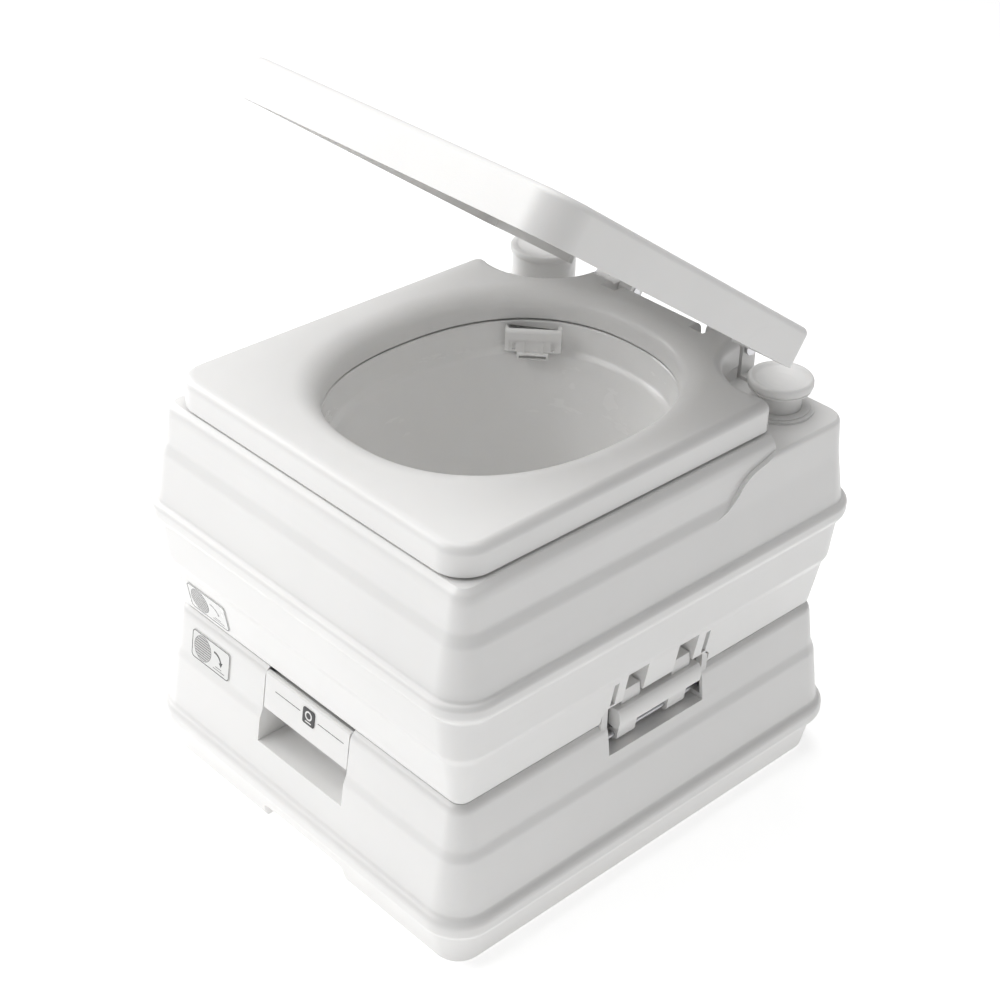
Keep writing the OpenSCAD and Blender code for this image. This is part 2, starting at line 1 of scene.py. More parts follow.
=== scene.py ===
# The looks of a portable camp toilet: white moulded tanks, bowl, seat, lid and fittings.
import json
import math

import bmesh
import bpy
from mathutils import Matrix, Vector


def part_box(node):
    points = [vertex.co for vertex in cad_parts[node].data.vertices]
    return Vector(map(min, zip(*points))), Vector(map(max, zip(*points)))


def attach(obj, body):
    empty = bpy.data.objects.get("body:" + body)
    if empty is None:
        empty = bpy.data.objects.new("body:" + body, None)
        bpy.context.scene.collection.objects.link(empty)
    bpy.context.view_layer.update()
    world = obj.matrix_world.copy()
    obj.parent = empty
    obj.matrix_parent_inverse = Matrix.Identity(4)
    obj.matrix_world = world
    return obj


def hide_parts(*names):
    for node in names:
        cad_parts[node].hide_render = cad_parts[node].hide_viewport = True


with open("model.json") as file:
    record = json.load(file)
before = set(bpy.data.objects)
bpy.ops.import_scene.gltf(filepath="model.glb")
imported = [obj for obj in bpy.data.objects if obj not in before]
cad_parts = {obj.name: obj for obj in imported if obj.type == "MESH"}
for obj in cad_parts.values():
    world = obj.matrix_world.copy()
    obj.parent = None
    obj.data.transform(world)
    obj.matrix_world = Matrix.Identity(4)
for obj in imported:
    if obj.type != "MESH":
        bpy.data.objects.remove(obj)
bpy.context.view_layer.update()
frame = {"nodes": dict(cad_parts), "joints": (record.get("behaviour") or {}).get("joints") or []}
nodes = frame["nodes"]
mm = 0.001


def nodeBox(name):  # a node's corners in millimetres
    low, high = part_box(name)
    return low / mm, high / mm


def nodeMiddle(name):
    low, high = nodeBox(name)
    return (low + high) / 2


# ---------- making and shaping ----------

far = 400  # past every wall
weldGap = 0.005
easeAngle, smoothAngle, flatAngle = 38, 32, 0.6
cornerSteps = 12

def clearPick():
    if bpy.context.object and bpy.context.object.mode != "OBJECT":
        bpy.ops.object.mode_set(mode="OBJECT")
    bpy.ops.object.select_all(action="DESELECT")


def pick(obj):
    clearPick()
    obj.select_set(True)
    bpy.context.view_layer.objects.active = obj
    return obj


def named(name):
    obj = bpy.context.object
    obj.name = name
    obj.data.name = name
    return obj


def settle(obj):  # the place goes into the mesh
    pick(obj)
    bpy.ops.object.transform_apply(location=True, rotation=True, scale=True)
    return obj


def addBox(name, low, high):
    clearPick()
    low, high = Vector(low) * mm, Vector(high) * mm
    bpy.ops.mesh.primitive_cube_add(size=1, location=(low + high) / 2)
    obj = named(name)
    bpy.ops.transform.resize(value=high - low)
    return settle(obj)


def addRod(name, start, end, radius, sides=64):
    clearPick()
    start, end = Vector(start) * mm, Vector(end) * mm
    turn = (end - start).to_track_quat("Z", "Y").to_euler()
    bpy.ops.mesh.primitive_cylinder_add(vertices=sides, radius=radius * mm, depth=(end - start).length,
                                        location=(start + end) / 2, rotation=turn)
    return settle(named(name))


def chooseEdges(obj, test):  # picks edges by their ends, in millimetres, and stays in edit mode
    pick(obj)
    bpy.ops.object.mode_set(mode="EDIT")
    bpy.ops.mesh.select_mode(type="EDGE")
    bpy.ops.mesh.select_all(action="DESELECT")
    work = bmesh.from_edit_mesh(obj.data)
    for edge in work.edges:
        edge.select_set(bool(test(edge.verts[0].co / mm, edge.verts[1].co / mm)))
    bmesh.update_edit_mesh(obj.data)


def roundEdges(obj, test, radius, steps=6, limit=True):
    chooseEdges(obj, test)
    bpy.ops.mesh.bevel(offset=radius * mm, segments=steps, profile=0.5, affect="EDGES", clamp_overlap=limit)
    bpy.ops.object.mode_set(mode="OBJECT")
    return obj


def upright(a, b):
    return abs(a.z - b.z) > 1 and (a.xy - b.xy).length < 0.05


def atHeight(z):
    return lambda a, b: abs(a.z - z) < 0.01 and abs(b.z - z) < 0.01


def combine(obj, tool, how="DIFFERENCE"):
    change = obj.modifiers.new("shape", "BOOLEAN")
    change.operation = how
    change.object = tool
    change.solver = "EXACT"
    pick(obj)
    bpy.ops.object.modifier_apply(modifier=change.name)
    bpy.data.objects.remove(tool)
    return obj


def twin(obj, name):  # a copy on the other side, mirrored in X
    pick(obj)
    bpy.ops.object.duplicate()
    other = named(name)
    bpy.ops.transform.resize(value=(-1, 1, 1), center_override=(0, 0, 0))
    settle(other)
    bpy.ops.object.mode_set(mode="EDIT")
    bpy.ops.mesh.select_all(action="SELECT")
    bpy.ops.mesh.normals_make_consistent(inside=False)
    bpy.ops.object.mode_set(mode="OBJECT")
    return other


def mirrored(obj):  # the same piece on the other side, in place of the first
    other = twin(obj, obj.name + "Left")
    bpy.data.objects.remove(obj)
    return other


def cutBoth(obj, tool):  # cuts with a tool on the right and with its mirror on the left
    combine(obj, twin(tool, tool.name + "Left"))
    return combine(obj, tool)


def shifted(box, x):  # a box's corners, moved across
    return [(x + corner[0], *corner[1:]) for corner in box]


def merge(first, other):
    pick(first)
    other.select_set(True)
    bpy.ops.object.join()
    return first


def tidyMesh(obj):
    pick(obj)
    bpy.ops.object.mode_set(mode="EDIT")
    bpy.ops.mesh.select_all(action="SELECT")
    bpy.ops.mesh.remove_doubles(threshold=weldGap * mm)
    bpy.ops.mesh.normals_make_consistent(inside=False)
    bpy.ops.object.mode_set(mode="OBJECT")
    return obj


def finishSkin(obj, edge=0.0, steps=3):  # eased edges and clean shading
    pick(obj)
    if edge:
        ease = obj.modifiers.new("ease", "BEVEL")
        ease.width = edge * mm
        ease.segments = steps
        ease.limit_method = "ANGLE"
        ease.angle_limit = math.radians(easeAngle)
        ease.use_clamp_overlap = True
        ease.miter_outer = "MITER_ARC"
        bpy.ops.object.modifier_apply(modifier=ease.name)
    bpy.ops.object.shade_smooth_by_angle(angle=math.radians(smoothAngle))
    even = obj.modifiers.new("even", "WEIGHTED_NORMAL")
    even.keep_sharp = True
    even.weight = 80
    bpy.ops.object.modifier_apply(modifier=even.name)
    return obj


def softened(line, radius, steps=3):  # rounds the corners of a profile line
    soft = [Vector(line[0])]
    share = 0.45  # a round takes no more of each side than this
    for before, corner, after in zip(line, line[1:], line[2:]):
        before, corner, after = Vector(before), Vector(corner), Vector(after)
        reach = min(radius, (before - corner).length * share, (after - corner).length * share)
        start = corner + (before - corner).normalized() * reach
        end = corner + (after - corner).normalized() * reach
        for step in range(steps + 1):
            t = step / steps
            soft.append((1 - t) ** 2 * start + 2 * t * (1 - t) * corner + t * t * end)
    soft.append(Vector(line[-1]))
    return soft


def stack(name, halfW, halfD, radius, stations, down=False, closed=True):
    # A rounded plate grown up or down through stations of height and inset.
    clearPick()
    bpy.ops.mesh.primitive_plane_add(size=2, location=(0, 0, stations[0][0] * mm))
    obj = named(name)
    first = stations[0][1]
    bpy.ops.transform.resize(value=((halfW - first) * mm, (halfD - first) * mm, 1))
    settle(obj)
    bpy.ops.object.mode_set(mode="EDIT")
    bpy.ops.mesh.select_all(action="SELECT")
    bpy.ops.mesh.bevel(offset=(radius - first) * mm, segments=cornerSteps, profile=0.5, affect="VERTICES")
    bpy.ops.mesh.select_all(action="SELECT")
    if down:
        bpy.ops.mesh.flip_normals()
    for (z0, in0), (z1, in1) in zip(stations, stations[1:]):
        rise = abs(z1 - z0) * mm
        if abs(in1 - in0) < 0.001:
            move = {"value": (0, 0, (z1 - z0) * mm)}
            bpy.ops.mesh.extrude_region_move(TRANSFORM_OT_translate=move)
        else:
            bpy.ops.mesh.inset(thickness=(in1 - in0) * mm, depth=rise, use_even_offset=True)
    work = bmesh.from_edit_mesh(obj.data)
    start = stations[0][0] * mm
    under = [f for f in work.faces if all(abs(v.co.z - start) < 1e-6 for v in f.verts)]
    bmesh.ops.delete(work, geom=under, context="FACES_ONLY")
    bmesh.update_edit_mesh(obj.data)
    if closed:
        bpy.ops.mesh.select_all(action="SELECT")
        bpy.ops.mesh.fill_holes(sides=0)
        bpy.ops.mesh.normals_make_consistent(inside=False)
    bpy.ops.object.mode_set(mode="OBJECT")
    return obj


def casing(name, profile):
    # Up and down from the widest section, so that every ring is an inset of the last.
    low = min(p[1] for p in profile)
    widest = max(i for i, p in enumerate(profile) if p[1] == low)
    up = stack(name, bodyHalfW, bodyHalfD, bodyRadius, profile[widest:], closed=False)
    downward = profile[widest::-1]
    under = stack(name + "Under", bodyHalfW, bodyHalfD, bodyRadius, downward, down=True, closed=False)
    return tidyMesh(merge(up, under))


def ovalPoint(turn, ring):
    z, a, b, cy, bend = ring
    c, s = math.cos(turn), math.sin(turn)
    x = math.copysign(abs(c) ** (2 / bend), c) * a
    y = math.copysign(abs(s) ** (2 / bend), s) * b + cy
    return Vector((x, y, z)) * mm


def ovalTurn(co, ring):
    z, a, b, cy, bend = ring
    x, y = co.x / mm / a, (co.y / mm - cy) / b
    c = math.copysign(abs(x) ** (bend / 2), x)
    s = math.copysign(abs(y) ** (bend / 2), y)
    return math.atan2(s, c)


def ovalShell(name, rings, sides=128):  # height, half width, half length, centre, bend
    clearPick()
    bpy.ops.mesh.primitive_circle_add(vertices=sides, radius=1, fill_type="NGON")
    obj = named(name)
    last = (0, 1 / mm, 1 / mm, 0, 2)  # the circle it grows from
    bpy.ops.object.mode_set(mode="EDIT")
    bpy.ops.mesh.select_all(action="SELECT")
    for index, ring in enumerate(rings):
        if index:
            bpy.ops.mesh.extrude_region_move()
        work = bmesh.from_edit_mesh(obj.data)
        for vert in [v for v in work.verts if v.select]:
            vert.co = ovalPoint(ovalTurn(vert.co, last), ring)
        bmesh.update_edit_mesh(obj.data)
        last = ring
    bpy.ops.object.mode_set(mode="OBJECT")
    return tidyMesh(obj)


def turned(name, centre, line, sides=96):  # spins a closed line of radius and height
    clearPick()
    bpy.ops.mesh.primitive_plane_add(size=1, location=(0, 0, 0))
    obj = named(name)
    bpy.ops.object.mode_set(mode="EDIT")
    bpy.ops.mesh.select_all(action="SELECT")
    bpy.ops.mesh.merge(type="CENTER")
    bpy.ops.mesh.select_all(action="SELECT")
    place = Vector((centre[0], centre[1], 0)) * mm
    points = [Vector((r, 0, z)) * mm + place for r, z in line]
    bpy.ops.transform.translate(value=points[0])
    for here, there in zip(points, points[1:]):
        bpy.ops.mesh.extrude_vertices_move(TRANSFORM_OT_translate={"value": there - here})
    bpy.ops.mesh.select_all(action="SELECT")
    bpy.ops.mesh.spin(steps=sides, angle=math.tau, center=place, axis=(0, 0, 1), use_auto_merge=True)
    bpy.ops.object.mode_set(mode="OBJECT")
    return tidyMesh(obj)


def easedNode(node, name, edge, steps=3):  # a working copy of a node, with its edges eased
    source = nodes[node]
    copy = source.copy()
    copy.data = source.data.copy()
    copy.name = name
    copy.data.name = name
    copy.parent = None
    for key in list(copy.keys()):
        del copy[key]
    bpy.context.scene.collection.objects.link(copy)
    copy.data.materials.clear()
    pick(copy)
    bpy.ops.mesh.customdata_custom_splitnormals_clear()
    bpy.ops.object.mode_set(mode="EDIT")
    bpy.ops.mesh.select_all(action="SELECT")
    bpy.ops.mesh.remove_doubles(threshold=2 * weldGap * mm)
    bpy.ops.mesh.mark_sharp(clear=True)
    bpy.ops.mesh.dissolve_limited(angle_limit=math.radians(flatAngle))
    bpy.ops.object.mode_set(mode="OBJECT")
    return finishSkin(copy, edge, steps)


# ---------- materials ----------

class Wire:
    def __init__(self, tree, socket=None):
        self.tree = tree
        self.socket = socket

    def node(self, kind, settings=None, inputs=None, output=0):
        made = self.tree.nodes.new(kind)
        for key, value in (settings or {}).items():
            if key == "stops":
                for stop, (place, colour) in zip(made.color_ramp.elements, value):
                    stop.position = place
                    stop.color = colour
            else:
                setattr(made, key, value)
        for key, value in (inputs or {}).items():
            if isinstance(value, Wire):
                self.tree.links.new(value.socket, made.inputs[key])
            else:
                made.inputs[key].default_value = value
        return Wire(self.tree, made.outputs[output] if made.outputs else None)

    def maths(self, operation, a, b):
        return self.node("ShaderNodeMath", {"operation": operation}, {0: a, 1: b})

    def __add__(self, other):
        return self.maths("ADD", self, other)

    def __radd__(self, other):
        return self.maths("ADD", other, self)

    def __sub__(self, other):
        return self.maths("SUBTRACT", self, other)

    def __rsub__(self, other):
        return self.maths("SUBTRACT", other, self)

    def __mul__(self, other):
        return self.maths("MULTIPLY", self, other)

    def __rmul__(self, other):
        return self.maths("MULTIPLY", other, self)

    def blend(self, low, high):  # this value picks between two colours
        return self.node("ShaderNodeMix", {"data_type": "RGBA"}, {0: self, 6: low, 7: high}, 2)

    def spread(self, low, high):  # maps this value from low..high to 0..1
        ends = {"Value": self, "From Min": low, "From Max": high}
        return self.node("ShaderNodeMapRange", {"clamp": True}, ends)


def rgb(r, g, b):
    return (r, g, b, 1)


def newMaterial(name):
    material = bpy.data.materials.new(name)
    material.use_nodes = True
    tree = material.node_tree
    tree.nodes.clear()
    return material, Wire(tree)


def noise(wire, place, scale, detail=2.0, rough=0.5):
    return wire.node("ShaderNodeTexNoise", {}, {"Vector": place, "Scale": scale, "Detail": detail,
                                                "Roughness": rough})


def plastic(name, look):
    material, wire = newMaterial(name)
    place = wire.node("ShaderNodeTexCoord", output="Object")
    cloud = noise(wire, place, look["cloudScale"], 3)
    grain = noise(wire, place, look["grainScale"], 2)
    flow = noise(wire, place, look["flowScale"], 2)
    stretched = wire.node("ShaderNodeMapping", {}, {"Vector": place, "Scale": look["scuffStretch"]})
    scuff = noise(wire, stretched, look["scuffScale"], 6, 0.7).spread(*look["scuffRange"])
    height = wire.node("ShaderNodeSeparateXYZ", {}, {"Vector": place}, output="Z")
    # Darker and browner towards the bottom: a band within the given height of the base, broken up by the cloud
    # noise.
    lowDark = (1 - height.spread(0.0, look["lowDarkHeight"])) * cloud.spread(0.35, 0.75)
    colour = cloud.spread(0.3, 0.7).blend(rgb(*look["shade"]), rgb(*look["tint"]))
    colour = (scuff * look["scuff"]).blend(colour, rgb(*look["scuffTint"]))
    colour = (lowDark * look["lowDark"]).blend(colour, rgb(*look["lowDarkTint"]))
    rough = look["rough"] + (flow - 0.5) * look["roughSpread"] + scuff * 0.12 + lowDark * 0.1
    relief = grain * look["grain"] + flow * look["flow"] - scuff * 0.15 * look["scuff"]
    bump = wire.node("ShaderNodeBump", {}, {
        "Strength": look["bump"], "Distance": look["bumpDepth"], "Height": relief})
    skin = wire.node("ShaderNodeBsdfPrincipled", {}, {
        "Base Color": colour, "Roughness": rough, "Normal": bump, "IOR": 1.5,
        "Specular IOR Level": look["gloss"], "Coat Weight": look["coat"], "Coat Roughness": look["coatRough"],
        "Subsurface Weight": look["depth"], "Subsurface Radius": look["depthReach"],
        "Subsurface Scale": 0.5})
    wire.node("ShaderNodeOutputMaterial", {}, {"Surface": skin})
    return material


def steel(name, tint, rough):
    material, wire = newMaterial(name)
    place = wire.node("ShaderNodeTexCoord", output="Object")
    long = wire.node("ShaderNodeMapping", {}, {"Vector": place, "Scale": (40, 900, 900)})
    brush = noise(wire, long, 1.0, 3)
    cloud = noise(wire, place, 60, 3)
    colour = cloud.spread(0.3, 0.7).blend(rgb(*[0.88 * c for c in tint]), rgb(*tint))
    bump = wire.node("ShaderNodeBump", {}, {"Strength": 0.25, "Distance": 0.0002, "Height": brush})
    skin = wire.node("ShaderNodeBsdfPrincipled", {}, {
        "Base Color": colour, "Metallic": 1.0, "Roughness": rough + brush * 0.16 + cloud * 0.06,
        "Normal": bump})
    wire.node("ShaderNodeOutputMaterial", {}, {"Surface": skin})
    return material


whiteLook = {
    "tint": (0.86, 0.855, 0.845), "shade": (0.825, 0.82, 0.81), "rough": 0.33, "roughSpread": 0.16,
    "cloudScale": 7, "grainScale": 1400, "flowScale": 55, "grain": 0.5, "flow": 0.8, "bump": 0.3,
    "bumpDepth": 0.0004, "scuffScale": 14, "scuffStretch": (1, 1, 5), "scuffRange": (0.60, 0.80),
    "scuff": 0.10, "scuffTint": (0.62, 0.61, 0.59), "lowDark": 0.10, "lowDarkHeight": 0.06,
    "lowDarkTint": (0.42, 0.39, 0.34), "gloss": 0.5, "coat": 0.12, "coatRough": 0.25, "depth": 0.06,
    "depthReach": (0.006, 0.005, 0.004),
}
white = plastic("whiteMoulding", whiteLook)
seatWhite = plastic("seatMoulding", dict(whiteLook, tint=(0.87, 0.865, 0.855)))
# A brighter copy of the white moulding: painted light that lifts the bowl's inside, which falls in shade under
# the open lid. The spray nozzle uses it too.
bowlPaintedBright = plastic("bowlMouldingPaintedBright", dict(
    whiteLook, tint=(0.93, 0.925, 0.915), shade=(0.9, 0.895, 0.885), rough=0.24, coat=0.2,
    scuff=0.05, flowScale=30))
greyPlastic = plastic("greyMoulding", dict(
    whiteLook, tint=(0.60, 0.595, 0.585), shade=(0.55, 0.545, 0.535), rough=0.42, scuffTint=(0.4, 0.4, 0.39)))
hosePlastic = plastic("milkyHose", dict(
    whiteLook, tint=(0.72, 0.75, 0.77), shade=(0.66, 0.7, 0.72), rough=0.3, depth=0.3, scuff=0.05))
blackRubber = plastic("blackRubber", dict(
    whiteLook, tint=(0.045, 0.045, 0.047), shade=(0.03, 0.03, 0.032), rough=0.62, coat=0.0, gloss=0.4,
    scuffTint=(0.12, 0.12, 0.12), depth=0.0, grain=1.0, bump=0.5))
labelFilm = plastic("labelFilm", dict(
    whiteLook, tint=(0.80, 0.80, 0.79), shade=(0.77, 0.77, 0.76), rough=0.24, grain=0.15, depth=0.0))
blackInk = plastic("blackInk", dict(
    whiteLook, tint=(0.03, 0.03, 0.032), shade=(0.02, 0.02, 0.022), rough=0.3, coat=0.0, depth=0.0,
    scuffTint=(0.2, 0.2, 0.2), grain=0.15))
brightSteel = steel("brightSteel", (0.72, 0.72, 0.74), 0.24)
print("materials made")


def dress(obj, material, body=None, replaces=()):
    obj.data.materials.clear()
    obj.data.materials.append(material)
    if body:
        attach(obj, body)
    if replaces:
        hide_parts(*replaces)
    return obj


# ---------- camera, light and floor ----------

view = {"place": (0.9547, -0.9165, 1.0908), "turn": 46.2, "dip": 32.7, "roll": 1.65, "lens": 72.07}


def addCamera():
    turn, dip, roll = (math.radians(view[k]) for k in ("turn", "dip", "roll"))
    ahead = Vector((-math.sin(turn) * math.cos(dip), math.cos(turn) * math.cos(dip), -math.sin(dip)))
    right = Vector((math.cos(turn), math.sin(turn), 0))
    up = right.cross(ahead)
    leanRight = right * math.cos(roll) + up * math.sin(roll)
    leanUp = up * math.cos(roll) - right * math.sin(roll)
    data = bpy.data.cameras.new("camera")
    data.lens = view["lens"]
    data.sensor_width = 36
    data.clip_start = 0.01
    camera = bpy.data.objects.new("camera", data)
    bpy.context.scene.collection.objects.link(camera)
    camera.matrix_world = Matrix.Translation(view["place"]) @ Matrix(
        (leanRight, leanUp, -ahead)).transposed().to_4x4()
    bpy.context.scene.camera = camera


# Place and target in metres, size across and along, power in watts.
panels = {
    "keyPanel": {"place": (-1.2, -1.75, 2.1), "target": (0, 0, 0.25), "size": (1.6, 1.3), "power": 20},
    "topPanel": {"place": (-0.3, 0.1, 2.4), "target": (0, 0, 0.3), "size": (1.8, 1.8), "power": 28},
    "leftPanel": {"place": (-2.2, -0.7, 1.45), "target": (0, 0, 0.3), "size": (1.2, 1.2), "power": 23},
    "sidePanel": {"place": (2.6, 0.4, 0.9), "target": (0, 0, 0.2), "size": (1.2, 1.6), "power": 0.8},
}
studio = {"air": 0.25, "floorSize": 14, "floorRough": 0.7, "floorGlow": 0.5}


def addPanel(name, place, target, size, power):
    data = bpy.data.lights.new(name, "AREA")
    data.shape = "RECTANGLE"
    data.size, data.size_y = size
    data.energy = power
    lamp = bpy.data.objects.new(name, data)
    bpy.context.scene.collection.objects.link(lamp)
    lamp.location = place
    lamp.rotation_euler = (Vector(place) - Vector(target)).to_track_quat("Z", "Y").to_euler()


def addStudio():
    for name, panel in panels.items():
        addPanel(name, **panel)
    world = bpy.data.worlds.new("studioAir")
    bpy.context.scene.world = world
    world.use_nodes = True
    world.node_tree.nodes["Background"].inputs["Color"].default_value = (1, 1, 1, 1)
    world.node_tree.nodes["Background"].inputs["Strength"].default_value = studio["air"]
    bpy.context.scene.view_settings.view_transform = "Standard"
    clearPick()
    bpy.ops.mesh.primitive_plane_add(size=studio["floorSize"], location=(0, 0, 0))
    floor = named("studioFloor")
    material, wire = newMaterial("studioFloor")
    place = wire.node("ShaderNodeTexCoord", output="Object")
    tone = noise(wire, place, 3, 2).spread(0.3, 0.7).blend(rgb(0.93, 0.93, 0.93), rgb(0.95, 0.95, 0.95))
    skin = wire.node("ShaderNodeBsdfPrincipled", {}, {
        "Base Color": tone, "Roughness": studio["floorRough"], "Emission Color": rgb(1, 1, 1),
        "Emission Strength": studio["floorGlow"]})
    wire.node("ShaderNodeOutputMaterial", {}, {"Surface": skin})
    floor.data.materials.append(material)


addCamera()
addStudio()
print("camera and studio set")

# ---------- waste tank ----------

bodyHigh = nodeBox("waste_tank")[1]
bodyHalfW, bodyHalfD = bodyHigh.x, bodyHigh.y
bodyRadius = 34
latchMiddle = nodeMiddle("latch_right").y
latchX = nodeMiddle("latch_right_pin").x
wallT = 3

wasteSet = {
    "profile": [(0, 14.5), (2, 12.6), (30.7, 7), (34.5, 1.8), (38, 0), (46, 0), (49.5, 1.8), (52.1, 5.7),
                (99, 11.9), (106.6, 15.2), (138.5, 19.6), (142.2, 21.4), (144.2, 24.5)],
    "tray": [(121, 17.1), (138.5, 19.6), (142.2, 21.4), (144.2, 24.5), (165, 24.5)],
    "soft": 2.2, "edge": 0.7,
    "channel": {"half": 50, "top": 15, "corner": 6},
    "handle": {"half": 51.5, "back": -178, "low": 79, "high": 200, "corner": 4},
    "spout": {"half": 75, "front": 150, "low": 58, "high": 114, "corner": 8},
    "vent": {"start": 184, "radius": 8.4}, "outlet": {"low": 60, "high": 140, "radius": 47},
}
latchSet = {
    "tongue": {"half": 58, "root": 139, "tip": 160, "thick": 7.4, "corner": 4},
    "pocket": {"half": 52, "low": 117, "high": 139, "top": 170, "deep": 6, "corner": 3},
}


def addTongue(name, grow=0.0, outer=latchSet["tongue"]["thick"]):  # the raised part behind a latch
    look, y = latchSet["tongue"], latchMiddle
    half, tip = look["half"] + grow, look["tip"] + grow
    low = (latchX - look["thick"] - grow, y - half, look["root"])
    tongue = addBox(name, low, (latchX + outer, y + half, tip))
    above = look["tip"] - 10
    chooseEdges(tongue, lambda a, b: min(a.z, b.z) > above and abs(a.x - b.x) > 1)
    bpy.ops.mesh.bevel(offset=look["corner"] * mm, segments=1, affect="EDGES")
    bpy.ops.object.mode_set(mode="OBJECT")
    return tongue


def latchPocket():
    look, y = latchSet["pocket"], latchMiddle
    front, back, low = y - look["half"], y + look["half"], look["low"]
    pocket = addBox("latchPocket", (latchX - look["deep"], front, low), (far, back, look["high"]))
    roundEdges(pocket, upright, look["corner"], 4)
    upper = addBox("latchPocketUpper", (latchX, front, low), (far, back, look["top"]))
    return pocket, upper


def addWasteTank():
    tank = casing("wasteTank", softened(wasteSet["profile"], wasteSet["soft"]))
    for side in (1, -1):
        tongue = addTongue("tongue")
        combine(tank, tongue if side > 0 else mirrored(tongue), "UNION")
    for part in latchPocket():
        cutBoth(tank, part)
    stations = [(z, inset + wallT) for z, inset in wasteSet["tray"]]
    combine(tank, stack("tray", bodyHalfW, bodyHalfD, bodyRadius, stations))
    look = wasteSet["channel"]
    half, top = look["half"], look["top"]
    channel = addBox("channel", (-half, -far, -20), (half, far, top))
    roundEdges(channel, lambda a, b: min(a.z, b.z) > top - 1 and abs(a.y - b.y) > 9, look["corner"])
    combine(tank, channel)
    look = wasteSet["handle"]
    half, back = look["half"], look["back"]
    recess = addBox("handleRecess", (-half, -far, look["low"]), (half, back, look["high"]))
    roundEdges(recess, lambda a, b: min(a.y, b.y) > back - 2, look["corner"], 4)
    combine(tank, recess)
    look = wasteSet["spout"]
    half = look["half"]
    nook = addBox("spoutRecess", (-half, look["front"], look["low"]), (half, far, look["high"]))
    roundEdges(nook, lambda a, b: True, look["corner"], 5)
    combine(tank, nook)
    look = wasteSet["vent"]
    x, _, z = nodeMiddle("vent_button")
    combine(tank, addRod("ventHole", (x, look["start"], z), (x, far, z), look["radius"]))
    look = wasteSet["outlet"]
    y = nodeMiddle("outlet_seal").y
    combine(tank, addRod("outletHole", (0, y, look["low"]), (0, y, look["high"]), look["radius"]))
    finishSkin(tank, wasteSet["edge"])
    dress(tank, white, "waste_base", ["waste_tank"])


addWasteTank()
print("waste tank made")

# ---------- fresh-water tank ----------

freshSet = {
    "profile": [(144.5, 25), (148.5, 21.8), (188.3, 14.7), (195, 10.9), (230.8, 7.5), (235, 3), (238.5, 1.6),
                (245.5, 1.6), (248, 3.5), (249.3, 6.9), (289.5, 13.1), (298.3, 17.4), (321, 19.5),
                (326.5, 21.2), (330.3, 26)],
    "shoulder": [(250, 6.95), (289.5, 13.1), (316, 15.2), (318.5, 16), (320, 18)],
    "shoulderLine": [(24, 286), (46, 288), (62, 292), (72, 299), (80, 308), (92, 313.5), (106, 316),
                     (118, 321)],
    "soft": 2.2, "deck": 320, "edge": 0.7, "top": 400,
    "notch": {"x": 138, "y": 176, "radius": 58, "front": 118, "inner": 18}, "neck": 82, "neckEnd": 178,
    "hole": (121.8, 144.8), "outlet": {"low": 100, "high": 160, "radius": 50}, "capHole": 24.4,
    "tongueGap": 0.9, "latchRoom": {"half": 53, "deep": 8, "low": 100, "high": 161.2},
    "window": {"at": (-27.5, 27.5), "half": 11, "inner": 149.5, "low": 160, "high": 188},
    "slot": {"at": (-50, 50), "half": 2.5, "inner": 166, "low": 163, "high": 185},
}


def shoulderTool():  # everything above the climbing edge, as a slab along X
    climb = freshSet["shoulderLine"]
    above, below = 330, 248
    data = bpy.data.curves.new("shoulderTool", "CURVE")
    data.dimensions = "2D"
    data.fill_mode = "BOTH"
    data.extrude = far * mm
    spline = data.splines.new("POLY")
    rest = ((far, above), (far, below), (climb[0][0], below))
    smooth = softened(climb, 6, 4) + [Vector(point) for point in rest]
    spline.points.add(len(smooth) - 1)
    for point, (y, z) in zip(spline.points, smooth):
        point.co = (y * mm, z * mm, 0, 1)
    spline.use_cyclic_u = True
    obj = bpy.data.objects.new("shoulderTool", data)
    bpy.context.scene.collection.objects.link(obj)
    obj.matrix_world = Matrix(((0, 0, 1, 0), (1, 0, 0, 0), (0, 1, 0, 0), (0, 0, 0, 1)))
    pick(obj)
    bpy.ops.object.convert(target="MESH")
    return tidyMesh(settle(obj))


